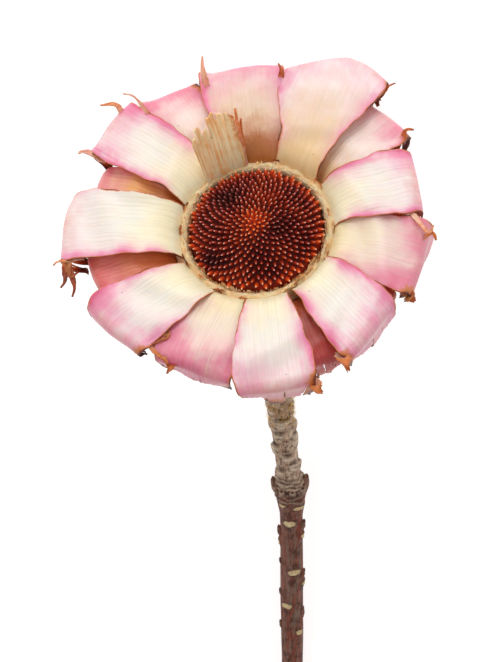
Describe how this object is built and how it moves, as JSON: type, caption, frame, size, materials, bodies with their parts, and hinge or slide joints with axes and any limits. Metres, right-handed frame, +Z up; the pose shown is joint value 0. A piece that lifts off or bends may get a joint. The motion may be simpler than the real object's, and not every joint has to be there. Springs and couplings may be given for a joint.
{
  "type": "dried protea flower",
  "caption": "Dried protea rosette on a bare woody stem, lying on its side: a domed, studded centre inside broad cream and pink bracts that fold outward.",
  "frame": {"origin": "middle of the flower's outline on the surface that it lies on", "axes": "+Y along the lying flower, from the stem's cut end towards the head; +Z up from the surface"},
  "size_m": [0.0968, 0.2436, 0.0846],
  "materials": {
    "cream_pink_bract": "satin",
    "pink_bract": "satin",
    "salmon_brown_bract": "satin",
    "papery_cream": "matte",
    "dark_brown_receptacle": "satin",
    "scale_brown": "matte",
    "bark": "matte"
  },
  "bodies": {
    "root": {"bract_upper_01": "cream_pink_bract", "bract_upper_02": "cream_pink_bract", "bract_upper_03": "cream_pink_bract", "bract_upper_04": "cream_pink_bract", "bract_upper_05": "cream_pink_bract", "bract_upper_06": "cream_pink_bract", "bract_upper_07": "cream_pink_bract", "bract_upper_08": "cream_pink_bract", "bract_middle_01": "pink_bract", "bract_middle_02": "pink_bract", "bract_middle_03": "pink_bract", "bract_middle_04": "pink_bract", "bract_middle_05": "pink_bract", "bract_tucked_01": "cream_pink_bract", "bract_tucked_02": "cream_pink_bract", "bract_lower_01": "salmon_brown_bract", "bract_lower_02": "salmon_brown_bract", "bract_lower_03": "salmon_brown_bract", "bract_lower_04": "salmon_brown_bract", "bract_lower_05": "salmon_brown_bract", "bract_lower_06": "salmon_brown_bract", "bract_lower_07": "salmon_brown_bract", "bract_lower_08": "salmon_brown_bract", "inner_bract_ring": "papery_cream", "inner_bract_tall": "papery_cream", "receptacle": "dark_brown_receptacle", "scaly_base": "scale_brown", "stem": "bark"}
  },
  "joints": []
}
